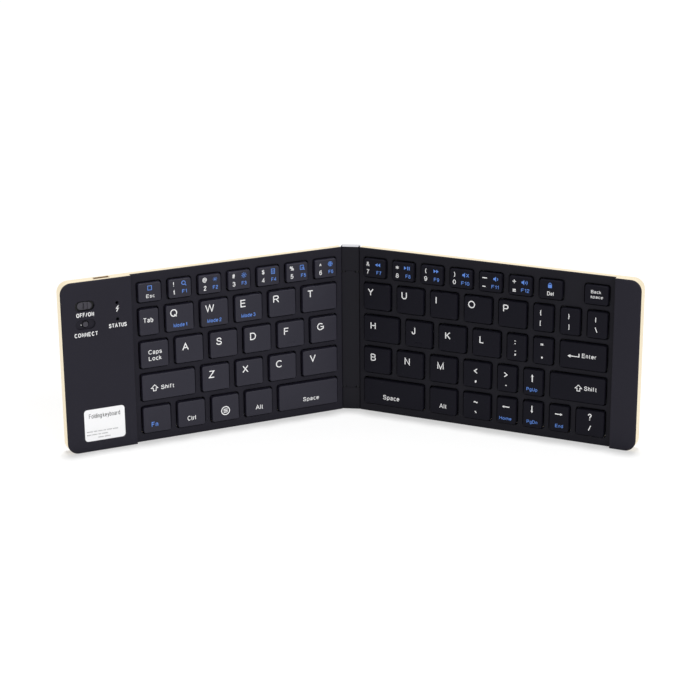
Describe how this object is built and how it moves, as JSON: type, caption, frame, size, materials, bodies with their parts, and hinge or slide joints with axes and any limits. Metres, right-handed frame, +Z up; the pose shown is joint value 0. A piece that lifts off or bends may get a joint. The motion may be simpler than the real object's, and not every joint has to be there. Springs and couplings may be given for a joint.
{
  "type": "folding keyboard",
  "caption": "Slim pocket keyboard that folds at a narrow spine, with hinged halves, low keycaps, raised outer ends and metal back covers, standing half open.",
  "frame": {"origin": "on the foot of the spine, midway between the two hinge axes, at the level of the lower long edges", "axes": "+Z up along the hinge axes, +X along the spine's width to the user's right, +Y to the back; rest pose stands on the long edges with the left half folded 31 degrees and the right half 18 degrees from flat"},
  "size_m": [0.258, 0.0768, 0.08],
  "materials": {
    "gold_metal": "champagne gold anodised, fine satin",
    "black_plastic": "fine moulded texture, matt",
    "spine_black": "smooth, matt",
    "spine_metal": "bare satin",
    "left_key_plastic": "soft-touch, with printed legends",
    "right_key_plastic": "soft-touch, with printed legends",
    "steel": "stamped and plated",
    "rubber": "matt",
    "film": "polyester film",
    "link_plastic": "natural acetal",
    "board": "solder mask",
    "battery_foil": "laminated pouch foil",
    "switch_plastic": "moulded",
    "grey_plastic": "moulded, satin",
    "lamp": "clear encapsulated",
    "label_paper": "coated white, no print"
  },
  "bodies": {
    "spine": {"spine_channel": "spine_metal", "spine_cover_top": "spine_black", "spine_cover_middle": "spine_black", "spine_cover_bottom": "spine_black", "hinge_pins": "steel", "spine_screws": "steel", "flex_cable": "film"},
    "left_half": {"left_back_cover": "gold_metal", "left_key_frame": "black_plastic", "left_key_plate": "steel", "left_membrane": "film", "left_domes": "rubber", "left_scissor_links": "link_plastic", "left_hinge_lugs": "steel", "left_screws": "steel", "left_feet": "rubber", "main_board": "board", "battery": "battery_foil", "usb_socket": "steel", "power_switch": "switch_plastic", "tact_switch": "steel", "indicator_leds": "lamp", "label_sticker": "label_paper"},
    "right_half": {"right_back_cover": "gold_metal", "right_key_frame": "black_plastic", "right_key_plate": "steel", "right_membrane": "film", "right_domes": "rubber", "right_scissor_links": "link_plastic", "right_hinge_lugs": "steel", "right_screws": "steel", "right_feet": "rubber"},
    "power_knob": {"power_knob": "grey_plastic"},
    "connect_button": {"connect_button": "grey_plastic"},
    "key_esc": {"key_esc": "left_key_plastic"},
    "keys_1_to_6": {"keys_1_to_6": "left_key_plastic"},
    "key_tab": {"key_tab": "left_key_plastic"},
    "keys_q_to_t": {"keys_q_to_t": "left_key_plastic"},
    "key_caps_lock": {"key_caps_lock": "left_key_plastic"},
    "keys_a_to_g": {"keys_a_to_g": "left_key_plastic"},
    "key_left_shift": {"key_left_shift": "left_key_plastic"},
    "keys_z_to_v": {"keys_z_to_v": "left_key_plastic"},
    "key_fn": {"key_fn": "left_key_plastic"},
    "key_ctrl": {"key_ctrl": "left_key_plastic"},
    "keys_menu_alt": {"keys_menu_alt": "left_key_plastic"},
    "key_left_space": {"key_left_space": "left_key_plastic"},
    "keys_7_to_equals": {"keys_7_to_equals": "right_key_plastic"},
    "key_delete": {"key_delete": "right_key_plastic"},
    "key_backspace": {"key_backspace": "right_key_plastic"},
    "keys_y_to_p": {"keys_y_to_p": "right_key_plastic"},
    "keys_brackets": {"keys_brackets": "right_key_plastic"},
    "keys_h_to_l": {"keys_h_to_l": "right_key_plastic"},
    "keys_semicolon_quote": {"keys_semicolon_quote": "right_key_plastic"},
    "key_enter": {"key_enter": "right_key_plastic"},
    "keys_b_to_period": {"keys_b_to_period": "right_key_plastic"},
    "keys_arrows": {"keys_arrows": "right_key_plastic"},
    "key_right_shift": {"key_right_shift": "right_key_plastic"},
    "key_right_space": {"key_right_space": "right_key_plastic"},
    "keys_alt_tilde": {"keys_alt_tilde": "right_key_plastic"},
    "key_slash": {"key_slash": "right_key_plastic"}
  },
  "joints": [
    {"name": "fold_left", "type": "hinge", "parent": "spine", "child": "left_half", "pos_m": [-0.0032, 0, 0], "axis": [0, 0, 1], "range_deg": [-31, 59], "deforming": ["flex_cable"]},
    {"name": "fold_right", "type": "hinge", "parent": "spine", "child": "right_half", "pos_m": [0.0032, 0, 0], "axis": [0, 0, -1], "range_deg": [-18, 72], "deforming": ["flex_cable"]},
    {"name": "power_slide", "type": "slide", "parent": "left_half", "child": "power_knob", "axis": [0.8572, 0.515, 0], "range_m": [-0.001, 0.001]},
    {"name": "connect_press", "type": "slide", "parent": "left_half", "child": "connect_button", "axis": [-0.515, 0.8572, 0], "range_m": [0, 0.0003], "stiffness_N_per_m": 400, "springref_m": -0.0003},
    {"name": "press_esc", "type": "slide", "parent": "left_half", "child": "key_esc", "axis": [-0.515, 0.8572, 0], "range_m": [0, 0.0013], "stiffness_N_per_m": 120, "springref_m": -0.0005, "deforming": ["left_domes", "left_scissor_links"]},
    {"name": "press_1_to_6", "type": "slide", "parent": "left_half", "child": "keys_1_to_6", "axis": [-0.515, 0.8572, 0], "range_m": [0, 0.0013], "stiffness_N_per_m": 720, "springref_m": -0.0005, "deforming": ["left_domes", "left_scissor_links"]},
    {"name": "press_tab", "type": "slide", "parent": "left_half", "child": "key_tab", "axis": [-0.515, 0.8572, 0], "range_m": [0, 0.0013], "stiffness_N_per_m": 120, "springref_m": -0.0005, "deforming": ["left_domes", "left_scissor_links"]},
    {"name": "press_q_to_t", "type": "slide", "parent": "left_half", "child": "keys_q_to_t", "axis": [-0.515, 0.8572, 0], "range_m": [0, 0.0013], "stiffness_N_per_m": 600, "springref_m": -0.0005, "deforming": ["left_domes", "left_scissor_links"]},
    {"name": "press_caps_lock", "type": "slide", "parent": "left_half", "child": "key_caps_lock", "axis": [-0.515, 0.8572, 0], "range_m": [0, 0.0013], "stiffness_N_per_m": 120, "springref_m": -0.0005, "deforming": ["left_domes", "left_scissor_links"]},
    {"name": "press_a_to_g", "type": "slide", "parent": "left_half", "child": "keys_a_to_g", "axis": [-0.515, 0.8572, 0], "range_m": [0, 0.0013], "stiffness_N_per_m": 600, "springref_m": -0.0005, "deforming": ["left_domes", "left_scissor_links"]},
    {"name": "press_left_shift", "type": "slide", "parent": "left_half", "child": "key_left_shift", "axis": [-0.515, 0.8572, 0], "range_m": [0, 0.0013], "stiffness_N_per_m": 120, "springref_m": -0.0005, "deforming": ["left_domes", "left_scissor_links"]},
    {"name": "press_z_to_v", "type": "slide", "parent": "left_half", "child": "keys_z_to_v", "axis": [-0.515, 0.8572, 0], "range_m": [0, 0.0013], "stiffness_N_per_m": 480, "springref_m": -0.0005, "deforming": ["left_domes", "left_scissor_links"]},
    {"name": "press_fn", "type": "slide", "parent": "left_half", "child": "key_fn", "axis": [-0.515, 0.8572, 0], "range_m": [0, 0.0013], "stiffness_N_per_m": 120, "springref_m": -0.0005, "deforming": ["left_domes", "left_scissor_links"]},
    {"name": "press_ctrl", "type": "slide", "parent": "left_half", "child": "key_ctrl", "axis": [-0.515, 0.8572, 0], "range_m": [0, 0.0013], "stiffness_N_per_m": 120, "springref_m": -0.0005, "deforming": ["left_domes", "left_scissor_links"]},
    {"name": "press_menu_alt", "type": "slide", "parent": "left_half", "child": "keys_menu_alt", "axis": [-0.515, 0.8572, 0], "range_m": [0, 0.0013], "stiffness_N_per_m": 240, "springref_m": -0.0005, "deforming": ["left_domes", "left_scissor_links"]},
    {"name": "press_left_space", "type": "slide", "parent": "left_half", "child": "key_left_space", "axis": [-0.515, 0.8572, 0], "range_m": [0, 0.0013], "stiffness_N_per_m": 120, "springref_m": -0.0005, "deforming": ["left_domes", "left_scissor_links"]},
    {"name": "press_7_to_equals", "type": "slide", "parent": "right_half", "child": "keys_7_to_equals", "axis": [0.309, 0.9511, 0], "range_m": [0, 0.0013], "stiffness_N_per_m": 720, "springref_m": -0.0005, "deforming": ["right_domes", "right_scissor_links"]},
    {"name": "press_delete", "type": "slide", "parent": "right_half", "child": "key_delete", "axis": [0.309, 0.9511, 0], "range_m": [0, 0.0013], "stiffness_N_per_m": 120, "springref_m": -0.0005, "deforming": ["right_domes", "right_scissor_links"]},
    {"name": "press_backspace", "type": "slide", "parent": "right_half", "child": "key_backspace", "axis": [0.309, 0.9511, 0], "range_m": [0, 0.0013], "stiffness_N_per_m": 120, "springref_m": -0.0005, "deforming": ["right_domes", "right_scissor_links"]},
    {"name": "press_y_to_p", "type": "slide", "parent": "right_half", "child": "keys_y_to_p", "axis": [0.309, 0.9511, 0], "range_m": [0, 0.0013], "stiffness_N_per_m": 600, "springref_m": -0.0005, "deforming": ["right_domes", "right_scissor_links"]},
    {"name": "press_brackets", "type": "slide", "parent": "right_half", "child": "keys_brackets", "axis": [0.309, 0.9511, 0], "range_m": [0, 0.0013], "stiffness_N_per_m": 360, "springref_m": -0.0005, "deforming": ["right_domes", "right_scissor_links"]},
    {"name": "press_h_to_l", "type": "slide", "parent": "right_half", "child": "keys_h_to_l", "axis": [0.309, 0.9511, 0], "range_m": [0, 0.0013], "stiffness_N_per_m": 480, "springref_m": -0.0005, "deforming": ["right_domes", "right_scissor_links"]},
    {"name": "press_semicolon_quote", "type": "slide", "parent": "right_half", "child": "keys_semicolon_quote", "axis": [0.309, 0.9511, 0], "range_m": [0, 0.0013], "stiffness_N_per_m": 240, "springref_m": -0.0005, "deforming": ["right_domes", "right_scissor_links"]},
    {"name": "press_enter", "type": "slide", "parent": "right_half", "child": "key_enter", "axis": [0.309, 0.9511, 0], "range_m": [0, 0.0013], "stiffness_N_per_m": 120, "springref_m": -0.0005, "deforming": ["right_domes", "right_scissor_links"]},
    {"name": "press_b_to_period", "type": "slide", "parent": "right_half", "child": "keys_b_to_period", "axis": [0.309, 0.9511, 0], "range_m": [0, 0.0013], "stiffness_N_per_m": 600, "springref_m": -0.0005, "deforming": ["right_domes", "right_scissor_links"]},
    {"name": "press_arrows", "type": "slide", "parent": "right_half", "child": "keys_arrows", "axis": [0.309, 0.9511, 0], "range_m": [0, 0.0013], "stiffness_N_per_m": 480, "springref_m": -0.0005, "deforming": ["right_domes", "right_scissor_links"]},
    {"name": "press_right_shift", "type": "slide", "parent": "right_half", "child": "key_right_shift", "axis": [0.309, 0.9511, 0], "range_m": [0, 0.0013], "stiffness_N_per_m": 120, "springref_m": -0.0005, "deforming": ["right_domes", "right_scissor_links"]},
    {"name": "press_right_space", "type": "slide", "parent": "right_half", "child": "key_right_space", "axis": [0.309, 0.9511, 0], "range_m": [0, 0.0013], "stiffness_N_per_m": 120, "springref_m": -0.0005, "deforming": ["right_domes", "right_scissor_links"]},
    {"name": "press_alt_tilde", "type": "slide", "parent": "right_half", "child": "keys_alt_tilde", "axis": [0.309, 0.9511, 0], "range_m": [0, 0.0013], "stiffness_N_per_m": 240, "springref_m": -0.0005, "deforming": ["right_domes", "right_scissor_links"]},
    {"name": "press_slash", "type": "slide", "parent": "right_half", "child": "key_slash", "axis": [0.309, 0.9511, 0], "range_m": [0, 0.0013], "stiffness_N_per_m": 120, "springref_m": -0.0005, "deforming": ["right_domes", "right_scissor_links"]}
  ]
}
